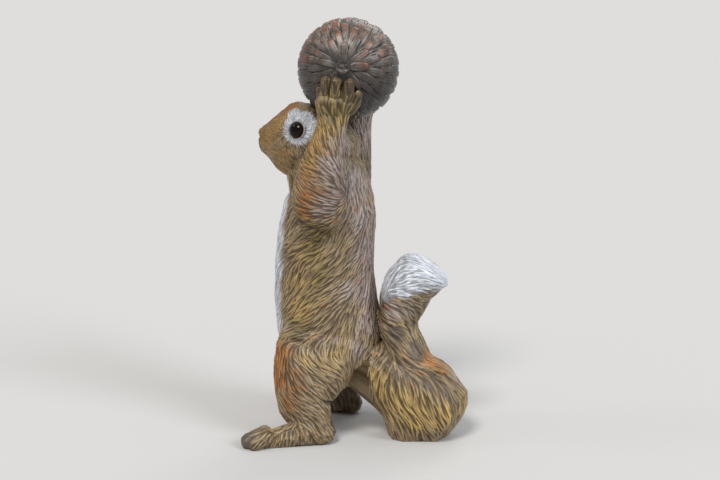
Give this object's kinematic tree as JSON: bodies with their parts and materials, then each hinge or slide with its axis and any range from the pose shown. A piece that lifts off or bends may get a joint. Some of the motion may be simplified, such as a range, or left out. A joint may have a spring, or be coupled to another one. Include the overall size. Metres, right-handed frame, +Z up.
{
  "type": "squirrel figurine",
  "caption": "Painted resin squirrel standing on its hind feet and brush, arms raised to hold a pine cone over its head. A shelf or garden ornament.",
  "frame": {"origin": "centre of the figure's box, on the ground it stands on", "axes": "+Z up, the animal faces -X, its own left side is at -Y"},
  "size_m": [0.1394, 0.1224, 0.2698],
  "materials": {
    "fur": "painted resin, dry-brushed fur",
    "cone_paint": "varnished painted resin",
    "eye_glass": "polished black glass",
    "dowel_steel": "bare rod, hidden in the casting"
  },
  "bodies": {
    "root": {"body": "fur", "left_arm": "fur", "right_arm": "fur", "tail": "fur", "pine_cone": "cone_paint", "left_eye": "eye_glass", "right_eye": "eye_glass", "left_arm_dowel": "dowel_steel", "right_arm_dowel": "dowel_steel", "tail_dowel": "dowel_steel"}
  },
  "joints": []
}
